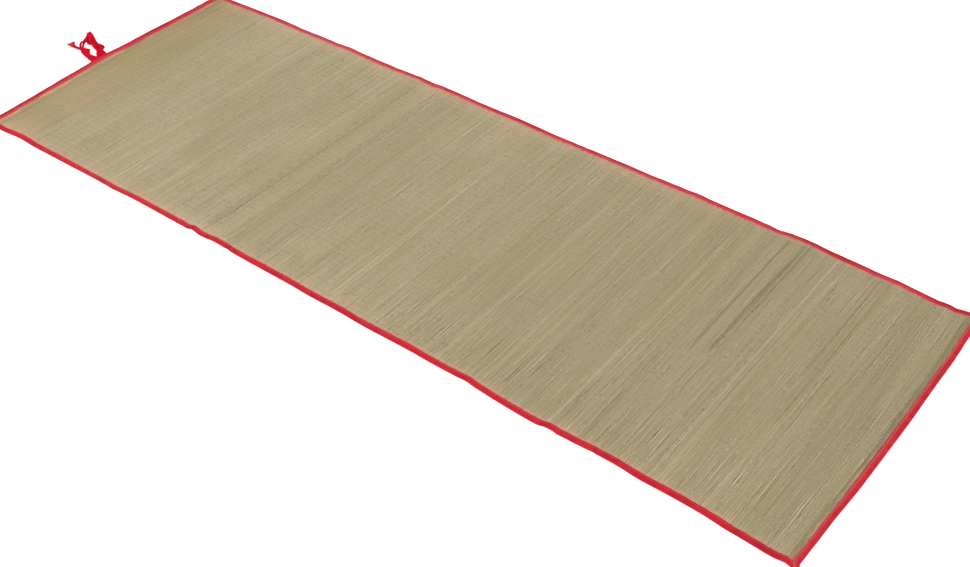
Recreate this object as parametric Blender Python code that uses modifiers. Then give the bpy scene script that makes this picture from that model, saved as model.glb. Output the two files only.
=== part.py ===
"""A woven straw beach mat, bound all round in red tape, with a tape tie sewn to one end.

It lies flat along X on the plane z = 0, its tie past the -X end. Metres, +Z up.
"""

import math
from collections import namedtuple

import bmesh
import bpy
from mathutils import Vector

MM = 0.001

# The mat
MAT_LENGTH = 1.780
MAT_WIDTH = 0.610
HALF_LENGTH = MAT_LENGTH / 2
HALF_WIDTH = MAT_WIDTH / 2
GAP = 0.0003

# The straw panel: its thickness in the open, the share of it left where the tape clamps it,
# how far its edge stops inside the fold, and the run over which it settles to the ground
STRAW_THICK = 0.0020
STRAW_PRESSED = 0.6
EDGE_INSET = 0.0026
SETTLE = 0.040

# The binding: a tape folded over the edge, with how far its two layers reach inwards
TAPE_THICK = 0.0010
TAPE_SHOWS = 0.0125
TAPE_HEIGHT = STRAW_THICK * STRAW_PRESSED + 2 * GAP + 2 * TAPE_THICK
FOLD_BACK = 0.0022
FOLD_NOSE = 0.0003
FOLD_ROUND = 0.0011

# The end tapes' bare tails past the corners, and the step down to them from the straw's edge
TAPE_TAIL = 0.007
TAIL_HEIGHT = 2 * TAPE_THICK + GAP
TAIL_STEP = 0.0012

# The straws fan out by this much over the width, most at a quarter and three quarters of the mat,
# and the last ones follow the ends of the mat over this run
STRAW_FAN = 0.0082
FAN_SPAN = 0.95
END_RUN = 0.120

# The tie's tape, and where its root lifts the binding
TIE_THICK = 0.0010
TIE_ROOT_AT = -0.028
TIE_ROOT_HALF = 0.022
TIE_LIFT_RUN = 0.026

# The sections along the mat: how far apart they are, and the least that they keep between them
STATION_PITCH = 0.045
STATION_CLEAR = 0.006
RIDGE_SHARES = (-1, -0.5, 0, 0.5, 1)

# How far the long edges stray outwards from a straight rectangle, in millimetres
LongEdge = namedtuple("LongEdge", "along near far")
LONG_EDGES = (
    LongEdge(-890, 8.4, -8.4),
    LongEdge(-838, 9.0, -7.6),
    LongEdge(-790, 5.6, -5.6),
    LongEdge(-740, 6.7, -3.9),
    LongEdge(-650, 5.2, -3.4),
    LongEdge(-560, 3.3, -3.0),
    LongEdge(-510, 3.5, -1.8),
    LongEdge(-460, 1.3, -2.5),
    LongEdge(-370, 0.6, -2.8),
    LongEdge(-322, 0.3, -1.2),
    LongEdge(-300, -0.8, -2.4),
    LongEdge(-274, 0.1, -1.9),
    LongEdge(-240, -0.6, -3.0),
    LongEdge(-214, -2.2, -0.6),
    LongEdge(-190, -0.5, -0.8),
    LongEdge(-130, -0.3, -2.2),
    LongEdge(-60, -0.6, -1.1),
    LongEdge(-20, 0.5, -1.4),
    LongEdge(50, -0.3, -3.7),
    LongEdge(110, 0.6, -3.0),
    LongEdge(180, -0.2, -2.7),
    LongEdge(250, 0.2, -3.6),
    LongEdge(317, -0.5, -3.4),
    LongEdge(350, 1.9, -1.0),
    LongEdge(400, 4.4, -2.7),
    LongEdge(452, 5.3, -3.2),
    LongEdge(474, 1.2, -3.4),
    LongEdge(510, 2.8, -5.8),
    LongEdge(540, 1.0, -2.4),
    LongEdge(577, 1.1, -4.0),
    LongEdge(603, 1.0, -2.8),
    LongEdge(640, 2.0, -4.4),
    LongEdge(700, 1.7, -7.7),
    LongEdge(740, 2.3, -7.5),
    LongEdge(790, 5.8, -11.5),
    LongEdge(838, 9.0, -15.6),
    LongEdge(862, 6.6, -9.8),
    LongEdge(890, 4.8, -7.6),
)

# How far the two ends stray outwards, in millimetres
EndEdge = namedtuple("EndEdge", "across tie_end plain_end")
END_EDGES = (
    EndEdge(-305, -7.2, 0.2),
    EndEdge(-210, -4.7, -0.4),
    EndEdge(-130, -1.1, 2.2),
    EndEdge(-20, 0.8, 2.0),
    EndEdge(70, -1.5, 0.6),
    EndEdge(150, -4.1, -0.9),
    EndEdge(215, -6.7, -3.4),
    EndEdge(305, -8.4, -6.0),
)

# The low ridges that run across the mat along its straws, in millimetres
Ridge = namedtuple("Ridge", "along height half_width")
RIDGES = (
    Ridge(-300, 2.2, 18),
    Ridge(-240, 2.8, 26),
    Ridge(317, 1.4, 18),
    Ridge(505, 1.2, 20),
    Ridge(577, 2.8, 28),
    Ridge(832, 2.6, 28),
)

# The panel's middle rows, in millimetres from its centre line
MIDDLE_ROWS = (-180, -76, -50, -6, 20, 90, 180)

# The tie's two tails, in millimetres: out past the mat's end, across the mat, and up to the middle
# of the tape. turn is the direction in which its width lies, in degrees from +X, and tip is how far
# that side is raised.
Fold = namedtuple("Fold", "out across up width turn tip")
UPPER_TAIL = (
    Fold(-9.0, -19.2, 0.5, 21.0, 90, 0),
    Fold(3.0, -19.2, 0.5, 22.0, 88, 0),
    Fold(13.5, -16.5, 2.3, 18.5, 68, 4),
    Fold(19.0, -14.3, 6.5, 14.5, 48, 5),
    Fold(29.0, -12.0, 9.4, 16.0, 54, 4),
    Fold(40.6, -9.2, 12.3, 13.6, 72, 7),
    Fold(52.0, -4.6, 15.4, 14.0, 80, 6),
    Fold(66.0, 1.5, 18.0, 12.0, 88, 4),
    Fold(77.0, 6.5, 18.8, 7.0, 92, 0),
    Fold(73.8, 0.8, 15.0, 8.0, 66, 0),
    Fold(67.5, -8.0, 12.2, 11.0, 27, 0),
    Fold(68.6, -14.5, 11.2, 6.0, -13, 10),
    Fold(71.2, -21.0, 9.7, 5.0, -31, 25),
    Fold(68.0, -27.8, 5.9, 4.5, -31, 29),
    Fold(63.0, -29.5, 2.6, 4.5, -31, 29),
    Fold(61.6, -24.6, 3.4, 4.5, -31, 25),
    Fold(65.6, -18.6, 7.0, 5.0, -20, 15),
    Fold(64.6, -11.6, 9.4, 7.0, 15, 0),
    Fold(54.0, -6.6, 6.6, 12.0, 62, 0),
    Fold(43.0, -1.5, 4.0, 13.0, 80, 0),
    Fold(33.5, 0.3, 1.7, 13.5, 92, 0),
    Fold(24.0, -2.0, 0.7, 13.5, 110, 0),
)
LOWER_TAIL = (
    Fold(-9.0, -39.6, 0.5, 16.0, 90, 0),
    Fold(4.0, -39.6, 0.5, 17.0, 90, 0),
    Fold(16.0, -39.3, 0.9, 16.5, 90, 0),
    Fold(26.5, -38.5, 2.0, 14.4, 90, 3),
    Fold(34.6, -36.2, 3.8, 16.6, 79, 5),
    Fold(42.0, -33.8, 5.2, 18.2, 70, 5),
    Fold(48.8, -32.4, 6.0, 13.5, 70, 6),
    Fold(55.5, -33.0, 6.2, 9.0, 84, 7),
    Fold(65.5, -34.8, 5.6, 6.8, 90, 10),
    Fold(79.3, -34.3, 4.4, 7.4, 96, 16),
    Fold(89.0, -30.2, 4.0, 16.2, 110, 12),
    Fold(98.0, -33.2, 2.3, 7.5, 110, 8),
    Fold(102.0, -35.0, 1.4, 2.6, 112, 0),
)
STEPS_PER_FOLD = 2


def ease(t):
    """A smooth step: 0 up to t = 0, and 1 from t = 1."""
    t = min(max(t, 0.0), 1.0)
    return t * t * (3 - 2 * t)


def column(rows, name):
    return [getattr(row, name) for row in rows]


def on_curve(places, values, place):
    """The value at a place, on a smooth curve through the values given at the other places."""
    i = min(max(sum(p <= place for p in places) - 1, 0), len(places) - 2)
    step = places[i + 1] - places[i]
    t = min(max((place - places[i]) / step, 0.0), 1.0)

    def slope(k):
        first, last = max(k - 1, 0), min(k + 1, len(places) - 1)
        return (values[last] - values[first]) / (places[last] - places[first])

    return (
        values[i] * (1 + 2 * t) * (1 - t) ** 2
        + values[i + 1] * t * t * (3 - 2 * t)
        + slope(i) * step * t * (1 - t) ** 2
        - slope(i + 1) * step * t * t * (1 - t)
    )


def near_edge(along):
    stray = on_curve(column(LONG_EDGES, "along"), column(LONG_EDGES, "near"), along / MM)
    return -HALF_WIDTH - MM * stray


def far_edge(along):
    stray = on_curve(column(LONG_EDGES, "along"), column(LONG_EDGES, "far"), along / MM)
    return HALF_WIDTH + MM * stray


def end_out(side, across):
    """How far an end of the mat strays outwards. side is -1 at its tie end and 1 at its plain end."""
    stray = column(END_EDGES, "tie_end" if side < 0 else "plain_end")
    return MM * on_curve(column(END_EDGES, "across"), stray, across / MM)


def straw_x(along, across):
    """X of a straw: it fans a little, and near the ends it follows the mat's end."""
    side = -1 if along < 0 else 1
    from_end = HALF_LENGTH - abs(along)
    held = ease((END_RUN + TAPE_SHOWS - from_end) / END_RUN)
    fan = -STRAW_FAN * math.sin(math.pi * along / FAN_SPAN) * across / MAT_WIDTH
    return along + side * held * end_out(side, across) + (1 - held) * fan


def ground_lift(along, across):
    """How high the mat's edges stand over the ground: its ridges, and the tie's root under its end."""
    ridges = sum(
        MM * ridge.height * ease(1 - abs(along / MM - ridge.along) / ridge.half_width)
        for ridge in RIDGES
    )
    beside = abs(across - TIE_ROOT_AT) - TIE_ROOT_HALF
    from_end = HALF_LENGTH + along
    over_root = ease(1 - beside / TIE_LIFT_RUN) * ease(1 - (from_end - TAPE_SHOWS) / SETTLE)
    return ridges + (TIE_THICK + GAP) * over_root


def straw_under(along, across):
    """Height of the panel's underside. It rises near its edges, to lie between the tape's layers."""
    from_edge = min(
        across - near_edge(along),
        far_edge(along) - across,
        HALF_LENGTH - abs(along),
    )
    rise = (TAPE_THICK + GAP) * ease(1 - (from_edge - TAPE_SHOWS) / SETTLE)
    return ground_lift(along, across) + rise


def spaced(fixed):
    """The fixed places in order, without crowding, and more between them where they lie far apart."""
    kept = []
    for place in sorted(fixed):
        if not kept or place - kept[-1] > STATION_CLEAR:
            kept.append(place)
    places = []
    for here, after in zip(kept, kept[1:]):
        count = max(1, round((after - here) / STATION_PITCH))
        places += [here + (after - here) * k / count for k in range(count)]
    return places + kept[-1:]


def along_places():
    """The places along the mat where its sections are set."""
    tape_end = HALF_LENGTH - TAPE_SHOWS - GAP
    settle_end = HALF_LENGTH - TAPE_SHOWS - SETTLE
    half_settled = settle_end + SETTLE / 2
    middle = [MM * row.along for row in LONG_EDGES]
    for ridge in RIDGES:
        for share in RIDGE_SHARES:
            middle.append(MM * (ridge.along + share * ridge.half_width))
    middle = [place for place in middle if abs(place) < settle_end]
    ends = [side * place for side in (-1, 1) for place in (settle_end, half_settled, tape_end)]
    last = HALF_LENGTH - EDGE_INSET
    return [-last] + spaced(middle + ends) + [last]


def across_rows():
    """The panel's rows as (side, distance): from the near or far edge, or from the centre line."""
    distances = (
        EDGE_INSET,
        TAPE_SHOWS + GAP,
        TAPE_SHOWS + SETTLE / 2,
        TAPE_SHOWS + SETTLE,
    )
    near = [(-1, distance) for distance in distances]
    middle = [(0, MM * row) for row in MIDDLE_ROWS]
    far = [(1, distance) for distance in reversed(distances)]
    return near + middle + far


def row_y(row, along):
    """Y of one of the panel's rows at a place along the mat."""
    side, distance = row
    if side < 0:
        return near_edge(along) + distance
    if side > 0:
        return far_edge(along) - distance
    return (near_edge(along) + far_edge(along)) / 2 + distance


def sheet(name, columns, rows, place, thickness, offset, material):
    """A sheet with a point for each column and row, made solid. Its faces look out where the
    direction of the columns, that of the rows and outwards are a right-handed set."""
    work = bmesh.new()
    bmesh.ops.create_grid(
        work,
        x_segments=len(columns) - 1,
        y_segments=len(rows) - 1,
        size=0.5,
    )
    for vert in work.verts:
        column = columns[round((vert.co.x + 0.5) * (len(columns) - 1))]
        row = rows[round((vert.co.y + 0.5) * (len(rows) - 1))]
        vert.co = place(column, row)
    mesh = bpy.data.meshes.new(name)
    work.to_mesh(mesh)
    work.free()
    mesh.shade_smooth()
    mesh.materials.append(material)
    obj = bpy.data.objects.new(name, mesh)
    mat_parts.objects.link(obj)
    solid = obj.modifiers.new("thickness", "SOLIDIFY")
    solid.thickness = thickness
    solid.offset = offset
    solid.use_even_offset = True
    return obj


def cloth(name, colour, roughness):
    material = bpy.data.materials.new(name)
    material.use_nodes = True
    shader = material.node_tree.nodes["Principled BSDF"]
    shader.inputs["Base Color"].default_value = (*colour, 1)
    shader.inputs["Roughness"].default_value = roughness
    material.diffuse_color = (*colour, 1)
    return material


def straw_panel():
    """The woven straw, pressed thinner along the edges that the tape clamps."""

    def place(along, row):
        across = row_y(row, along)
        return Vector((straw_x(along, across), across, straw_under(along, across)))

    obj = sheet(
        "straw_panel", along_places(), across_rows(), place, STRAW_THICK, 1, straw
    )
    group = obj.vertex_groups.new(name="open straw")
    columns = along_places()
    clamped_ends = (columns[0], columns[1], columns[-2], columns[-1])
    rows = across_rows()
    clamped_rows = (rows[0], rows[1], rows[-2], rows[-1])
    clamped = [place(a, row) for a in columns for row in clamped_rows]
    clamped += [place(a, row) for a in clamped_ends for row in rows]
    keys = {(round(p.x, 5), round(p.y, 5)) for p in clamped}
    for vert in obj.data.vertices:
        pressed = (round(vert.co.x, 5), round(vert.co.y, 5)) in keys
        group.add([vert.index], STRAW_PRESSED if pressed else 1.0, "REPLACE")
    obj.modifiers["thickness"].vertex_group = group.name


def tape_section(flat):
    """The folded tape's outer face as (inwards, up) points, from its lower edge round the fold to
    its upper edge. flat is 0 over the straw, and 1 where two bare layers lie together."""
    height = TAPE_HEIGHT + (TAIL_HEIGHT - TAPE_HEIGHT) * flat
    nose = FOLD_NOSE * (1 - flat)
    shoulder = FOLD_ROUND * (1 - flat)
    return (
        (TAPE_SHOWS, 0),
        (FOLD_BACK, 0),
        (nose, shoulder),
        (nose, height - shoulder),
        (FOLD_BACK, height),
        (TAPE_SHOWS, height),
    )


def long_binding(name, side):
    """The tape along a long edge, from one end binding to the other."""
    edge = far_edge if side > 0 else near_edge
    columns = along_places()[1:-1]

    def place(along, point):
        inwards, up = tape_section(0)[point]
        across = edge(along) - side * inwards
        lift = ground_lift(along, edge(along))
        return Vector((straw_x(along, across), across, lift + up))

    points = list(range(len(tape_section(0))))
    if side > 0:
        points.reverse()
    sheet(name, columns, points, place, TAPE_THICK, -1, binding_tape)


def end_binding(name, side):
    """The tape across an end of the mat. It laps the long tapes at both corners, and its flat tails
    stand out past them."""
    along = side * HALF_LENGTH
    near, far = near_edge(along), far_edge(along)
    tails = [near - TAPE_TAIL, near - TAIL_STEP, far + TAIL_STEP, far + TAPE_TAIL]
    over_straw = [near + TAIL_STEP, far - TAIL_STEP]
    over_straw += [row_y(row, along) for row in across_rows()]
    columns = sorted(tails + over_straw)

    def place(across, point):
        flat = 1 if across in tails else 0
        inwards, up = tape_section(flat)[point]
        x = side * (HALF_LENGTH + end_out(side, across) - inwards)
        return Vector((x, across, ground_lift(along, across) + up))

    points = list(range(len(tape_section(0))))
    if side < 0:
        points.reverse()
    sheet(name, columns, points, place, TAPE_THICK, -1, binding_tape)


def tie_tail(name, folds):
    """One tail of the tie: a tape that follows its folds, each row of them a section of it."""
    numbers = list(range(len(folds)))
    steps = list(range(numbers[-1] * STEPS_PER_FOLD + 1))

    def place(step, side):
        out, across, up, width, turn, tip = (
            on_curve(numbers, column(folds, name), step / STEPS_PER_FOLD)
            for name in Fold._fields
        )
        turn, tip = math.radians(turn), math.radians(tip)
        level = math.cos(tip)
        width_way = Vector((level * math.cos(turn), level * math.sin(turn), math.sin(tip)))
        middle = Vector((-HALF_LENGTH - out * MM, across * MM, up * MM))
        return middle + width_way * (side * width * MM / 2)

    sheet(name, steps, [-1, 1], place, TIE_THICK, 0, tie_tape)


for old in list(bpy.data.objects):
    bpy.data.objects.remove(old)

mat_parts = bpy.data.collections.new("beach_mat")
bpy.context.scene.collection.children.link(mat_parts)
straw = cloth("straw", (0.397, 0.324, 0.206), 0.75)
binding_tape = cloth("binding tape", (0.60, 0.020, 0.045), 0.65)
tie_tape = cloth("tie tape", (0.70, 0.002, 0.028), 0.60)

straw_panel()
long_binding("binding_near", -1)
long_binding("binding_far", 1)
end_binding("binding_tie_end", -1)
end_binding("binding_plain_end", 1)
tie_tail("tie_upper_tail", UPPER_TAIL)
tie_tail("tie_lower_tail", LOWER_TAIL)
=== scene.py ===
"""The looks of a woven straw beach mat, bound all round in red tape, with a crumpled tape tie at the
middle of one end. It lies flat along X on the floor. Metres, +Z up."""

import math
from collections import namedtuple

import bpy
import numpy as np
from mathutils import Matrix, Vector


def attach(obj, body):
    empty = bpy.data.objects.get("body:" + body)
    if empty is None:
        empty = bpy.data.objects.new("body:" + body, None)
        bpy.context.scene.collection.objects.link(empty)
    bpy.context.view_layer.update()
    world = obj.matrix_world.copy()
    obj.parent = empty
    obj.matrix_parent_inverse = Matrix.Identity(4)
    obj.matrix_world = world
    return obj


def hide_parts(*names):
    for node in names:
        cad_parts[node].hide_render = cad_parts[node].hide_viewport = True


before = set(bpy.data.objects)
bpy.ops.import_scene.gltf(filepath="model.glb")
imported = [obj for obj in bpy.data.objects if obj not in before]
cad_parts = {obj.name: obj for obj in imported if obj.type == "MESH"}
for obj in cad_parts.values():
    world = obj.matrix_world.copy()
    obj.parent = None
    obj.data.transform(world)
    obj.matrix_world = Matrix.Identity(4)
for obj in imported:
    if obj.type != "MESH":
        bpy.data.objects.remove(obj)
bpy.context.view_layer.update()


# The camera
# It stands beyond the plain end and to the near side, at standing height. Its place, its slight
# roll and its lens follow from the mat's four edges in the photograph.
CAMERA_AT = (1.2955, -1.4007, 1.4840)
CAMERA_TURN = (48.801, 1.896, 38.674)
LENS = 50.459

camera = bpy.data.objects.new("camera", bpy.data.cameras.new("camera"))
camera.location = CAMERA_AT
camera.rotation_euler = [math.radians(angle) for angle in CAMERA_TURN]
camera.data.lens = LENS
camera.data.sensor_width = 36
bpy.context.scene.collection.objects.link(camera)
bpy.context.scene.camera = camera
bpy.context.scene.view_settings.view_transform = "Standard"


# The floor and the light
# A plain pale floor that glows a little, as a light table does, and the even light of a studio: a
# white room, a wide softbox overhead, and one low in front for the near faces of the tie's folds.
FLOOR_HALF = 12.0
FLOOR_DROP = 0.0002
FLOOR_COLOUR = (0.86, 0.86, 0.86, 1)
FLOOR_GLOW = 0.48
ROOM_LIGHT = 0.75


def softbox(name, place, aim, size, power):
    light = bpy.data.lights.new(name, "AREA")
    light.shape = "SQUARE"
    light.size = size
    light.energy = power
    box = bpy.data.objects.new(name, light)
    box.location = place
    box.rotation_euler = (Vector(aim) - Vector(place)).to_track_quat("-Z", "Y").to_euler()
    bpy.context.scene.collection.objects.link(box)


def new_finish(name):
    """A new material and its shader."""
    material = bpy.data.materials.new(name)
    material.use_nodes = True
    return material, material.node_tree.nodes["Principled BSDF"]


def feed(socket, value):
    """Gives a node's socket its link, or its value."""
    if isinstance(value, bpy.types.NodeSocket):
        socket.id_data.links.new(value, socket)
    else:
        socket.default_value = value


def set_inputs(made, **inputs):
    for name, value in inputs.items():
        feed(made.inputs[name.replace("_", " ")], value)
    return made


floor_mesh = bpy.data.meshes.new("floor")
floor_mesh.from_pydata(
    [
        (x * FLOOR_HALF, y * FLOOR_HALF, -FLOOR_DROP)
        for x, y in ((-1, -1), (1, -1), (1, 1), (-1, 1))
    ],
    [],
    [(0, 1, 2, 3)],
)
floor_paint, floor_shader = new_finish("floor_paint")
set_inputs(
    floor_shader,
    Base_Color=FLOOR_COLOUR,
    Roughness=0.9,
    Emission_Color=(1, 1, 1, 1),
    Emission_Strength=FLOOR_GLOW,
)
floor_mesh.materials.append(floor_paint)
floor = bpy.data.objects.new("floor", floor_mesh)
bpy.context.scene.collection.objects.link(floor)

room = bpy.data.worlds.new("room")
room.use_nodes = True
room.node_tree.nodes["Background"].inputs["Color"].default_value = (1, 1, 1, 1)
room.node_tree.nodes["Background"].inputs["Strength"].default_value = ROOM_LIGHT
bpy.context.scene.world = room

softbox("softbox_overhead", (-0.6, -0.4, 3.2), (0, 0, 0), 2.6, 60)
softbox("softbox_front", (3.3, -4.3, 1.9), (0.1, 0.0, 0), 2.6, 72)


# The straws
# Dried rush stems, flattened to about 2 mm by 1 mm, laid side by side across the mat from tape to
# tape. They lie butt to tip in turn and are woven over and under a warp thread every half inch.
# Each keeps its own olive or tan, which drifts along the stem.
MM = 0.001
HALF_LENGTH = 0.890
HALF_WIDTH = 0.305
STRAW_THICK = 2.0 * MM
STRAW_PRESSED = 0.6
EDGE_INSET = 2.6 * MM
STRAW_FAN = 8.2 * MM
FAN_SPAN = 0.95
END_RUN = 0.120
SETTLE = 0.040
TAPE_SHOWS = 12.5 * MM
TIE_ROOT_AT = -28 * MM
TIE_ROOT_HALF = 22 * MM
TIE_LIFT_RUN = 26 * MM
TAPE_LIFT = 1.3 * MM

STRAW_PITCH = 2.2 * MM
PITCH_SPREAD = (0.70, 1.34)
STRAW_CROWDED = 1.26
STEM_HALF_HEIGHT = 0.56 * MM
PROUD_STEM = 0.40 * MM
HEIGHT_SPREAD = (0.88, 1.10)
STEM_TAPER = 0.14
STEM_LEAN = 0.5
WEAVE_RISE = 0.18 * MM
STRAW_END = 5.0 * MM
PRESS_RUN = 14.0 * MM
WARPS = 46
WARP_PITCH = 12.7 * MM
STRAW_GROUPS = 12
STREAK_TONE = 0.20
STREAK_FADE = 25
STEM_SIDES = 5



def table(columns, *rows):
    """Rows of numbers, with a name for each column."""
    row_of = namedtuple("row_of", columns)
    return [row_of(*row) for row in rows]


# How far the long edges stray outwards from a straight rectangle, in millimetres
LONG_EDGES = table(
    "along near far",
    (-890, 8.4, -8.4),
    (-838, 9.7, -7.6),
    (-790, 5.6, -5.6),
    (-740, 6.7, -3.9),
    (-703, 6.2, -2.8),
    (-650, 5.2, -3.7),
    (-622, 4.6, -4.5),
    (-560, 3.3, -2.6),
    (-526, 3.6, -3.1),
    (-510, 3.9, -1.2),
    (-494, 3.0, 0.1),
    (-460, 1.1, -2.0),
    (-370, 0.6, -2.8),
    (-322, 0.4, -0.9),
    (-310, 1.0, -1.4),
    (-301, -0.9, -2.0),
    (-281, 0.3, -0.9),
    (-268, -0.2, -1.2),
    (-252, -1.1, -2.9),
    (-240, -0.7, -2.9),
    (-218, -2.0, -0.2),
    (-205, -1.0, -0.3),
    (-190, -0.5, -0.8),
    (-130, -0.3, -2.2),
    (-60, -0.6, -1.1),
    (-20, 0.5, -1.4),
    (30, -0.1, -3.3),
    (55, 0.0, -3.7),
    (110, 1.0, -3.2),
    (180, -0.3, -2.8),
    (205, -0.5, -2.4),
    (250, 0.2, -3.4),
    (290, -0.4, -2.4),
    (308, -1.0, -3.1),
    (326, 0.4, -2.9),
    (350, 2.0, -0.8),
    (369, 3.1, -1.2),
    (388, 3.9, -2.7),
    (400, 4.4, -2.7),
    (452, 5.2, -3.7),
    (474, 1.4, -3.7),
    (488, 2.8, -4.5),
    (510, 2.6, -6.4),
    (527, 1.3, -5.1),
    (542, 0.5, -1.9),
    (549, -0.2, -1.7),
    (554, 0.5, -1.8),
    (564, 0.9, -2.8),
    (577, 1.7, -4.2),
    (596, 0.6, -2.2),
    (608, 0.8, -2.9),
    (620, 1.9, -3.8),
    (640, 2.4, -4.8),
    (688, 1.7, -6.5),
    (712, 1.9, -8.0),
    (740, 2.6, -7.8),
    (785, 6.0, -11.2),
    (806, 6.1, -12.8),
    (820, 8.0, -14.9),
    (838, 9.2, -14.9),
    (848, 8.5, -15.3),
    (856, 8.0, -12.2),
    (864, 7.2, -10.9),
    (872, 6.2, -9.4),
    (881, 8.0, -8.2),
    (890, 8.6, -7.6),
)

# How far the two ends stray outwards, in millimetres
END_EDGES = table(
    "across tie_end plain_end",
    (-305, -7.2, -0.9),
    (-273, -6.4, -0.6),
    (-240, -4.6, -0.2),
    (-210, -4.7, -0.1),
    (-190, -3.9, 0.5),
    (-130, -1.1, 2.2),
    (-86, 0.0, 2.2),
    (-20, 0.8, 2.1),
    (30, -0.2, 1.7),
    (70, -1.5, 0.6),
    (115, -2.9, -0.4),
    (150, -4.1, -0.8),
    (181, -5.4, -1.4),
    (205, -6.4, -2.5),
    (230, -7.1, -4.0),
    (305, -8.4, -6.0),
)

# The low ridges that run across the mat along its straws, in millimetres
RIDGES = table(
    "along height half_width",
    (-300, 2.2, 18),
    (-240, 2.8, 26),
    (317, 1.4, 18),
    (505, 1.2, 20),
    (577, 2.8, 28),
    (832, 2.6, 28),
)

# Bands and single stems that stand out from the rest, in millimetres: where along the mat, how
# wide, from where to where across it, and how much paler or darker (tone) or greener (green).
# The darker streaks on the ridges are painted shade of their flanks, and those at 871 to 875 mm
# are painted shade beside the plain end's tape
STREAKS = table(
    "along half_width near far tone green",
    (-842, 26, -330, 330, -0.12, 0.10),
    (-571, 5.0, -300, 280, 0.35, 0),
    (-445, 4.0, -300, -150, 0.45, 0),
    (-371, 1.2, 150, 200, -1.4, 0),
    (-360, 80, -330, -260, 0.25, 0),
    (-331, 1.8, 0, 300, 0.6, 0),
    # The next three: painted shade on the flanks of the ridges at -300 and -240 mm
    (-324, 1.4, 190, 300, -1.1, 0.2),
    (-283, 1.3, -250, 200, -1.0, 0),
    (-198, 34, -330, 330, -0.15, 0.07),
    (9, 1.3, -300, 120, 0.8, 0),
    (17, 1.2, -300, -40, 0.7, 0),
    (245, 3.0, -330, 330, 0.4, 0),
    (330, 1.8, -330, 330, 0.5, 0),
    (351, 1.8, -330, 200, 0.5, 0),
    (370, 1.6, -330, 330, 0.4, 0),
    (465, 2.4, -330, 330, 0.5, 0),
    # The next three: painted shade on the flanks of the ridge at 577 mm, a little greener
    (550, 1.8, -40, 300, -1.1, 0.1),
    (578, 2.4, -40, 300, -1.2, 0.1),
    (588, 1.4, 60, 300, -1.0, 0.1),
    (640, 2.0, -330, 330, 0.5, 0),
    (655, 1.8, -330, 250, 0.5, 0),
    (719, 1.8, 0, 300, -0.8, 0.1),
    (735, 1.8, -110, 300, -1.1, 0.2),
    # Painted shade on the ridge at 832 mm, a little greener
    (825, 40, -330, 330, -0.12, 0.02),
    (844, 5.0, 0, 330, 0.5, 0),
    # The next three: painted shade beside the plain end's tape, the last two also greener
    (875.2, 3.6, -330, 10, -1.15, 0),
    (874.2, 3.8, -20, 330, -1.4, 0.05),
    (871, 4.0, 110, 330, -0.2, 0.15),
)


def ease(t):
    """A smooth step: 0 up to t = 0, and 1 from t = 1."""
    t = np.clip(t, 0.0, 1.0)
    return t * t * (3 - 2 * t)


def rising(value, start, span):
    """0 up to a start, and 1 from a span beyond it."""
    return ease((value - start) / span)


def falling(value, end, span):
    """1 up to a span before an end, and 0 from the end on."""
    return ease((end - value) / span)


def column(rows, name):
    return np.array([getattr(row, name) for row in rows], float)


def on_curve(rows, first, name, place):
    """The values of a table's column at places in its first column, on a smooth curve."""
    places = column(rows, first)
    values = column(rows, name)
    before = np.maximum(np.arange(len(rows)) - 1, 0)
    after = np.minimum(np.arange(len(rows)) + 1, len(rows) - 1)
    slopes = (values[after] - values[before]) / (places[after] - places[before])
    i = np.clip(np.searchsorted(places, place, side="right") - 1, 0, len(rows) - 2)
    step = places[i + 1] - places[i]
    t = np.clip((place - places[i]) / step, 0.0, 1.0)
    return (
        values[i] * (1 + 2 * t) * (1 - t) ** 2
        + values[i + 1] * t * t * (3 - 2 * t)
        + slopes[i] * step * t * (1 - t) ** 2
        - slopes[i + 1] * step * t * t * (1 - t)
    )


def near_edge(along):
    return -HALF_WIDTH - MM * on_curve(LONG_EDGES, "along", "near", along / MM)


def far_edge(along):
    return HALF_WIDTH + MM * on_curve(LONG_EDGES, "along", "far", along / MM)


def end_out(side, across):
    """How far an end of the mat strays outwards. side is -1 at the tie end, 1 at the plain end."""
    tie_end = MM * on_curve(END_EDGES, "across", "tie_end", across / MM)
    plain_end = MM * on_curve(END_EDGES, "across", "plain_end", across / MM)
    return np.where(side < 0, tie_end, plain_end)


def straw_x(along, across):
    """X of a straw: it fans a little, and near the ends it follows the mat's end."""
    side = np.where(along < 0, -1, 1)
    from_end = HALF_LENGTH - abs(along)
    held = ease((END_RUN + TAPE_SHOWS - from_end) / END_RUN)
    fan = -STRAW_FAN * np.sin(np.pi * along / FAN_SPAN) * across / (2 * HALF_WIDTH)
    return along + side * held * end_out(side, across) + (1 - held) * fan


def ground_lift(along, across):
    """How high the mat lies over the ground: on its ridges, and on the tie's root under its end."""
    ridges = sum(
        MM * ridge.height * ease(1 - abs(along / MM - ridge.along) / ridge.half_width)
        for ridge in RIDGES
    )
    beside = abs(across - TIE_ROOT_AT) - TIE_ROOT_HALF
    past_tape = HALF_LENGTH + along - TAPE_SHOWS
    over_root = ease(1 - beside / TIE_LIFT_RUN) * ease(1 - past_tape / SETTLE)
    return ridges + TAPE_LIFT * over_root


def from_edge(along, across):
    """How far a place is from the nearest edge of the mat."""
    sides = np.minimum(across - near_edge(along), far_edge(along) - across)
    return np.minimum(sides, HALF_LENGTH - abs(along))


def straw_under(along, across):
    """Height of the straw's underside. It rises near the edges, to lie between the tape's layers."""
    rise = TAPE_LIFT * ease(1 - (from_edge(along, across) - TAPE_SHOWS) / SETTLE)
    return ground_lift(along, across) + rise


def pressed(along, across):
    """The share of the straw's thickness that is left: all of it, but less in the tape's grip."""
    open_straw = ease((from_edge(along, across) - STRAW_END) / PRESS_RUN)
    return STRAW_PRESSED + (1 - STRAW_PRESSED) * open_straw


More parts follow.
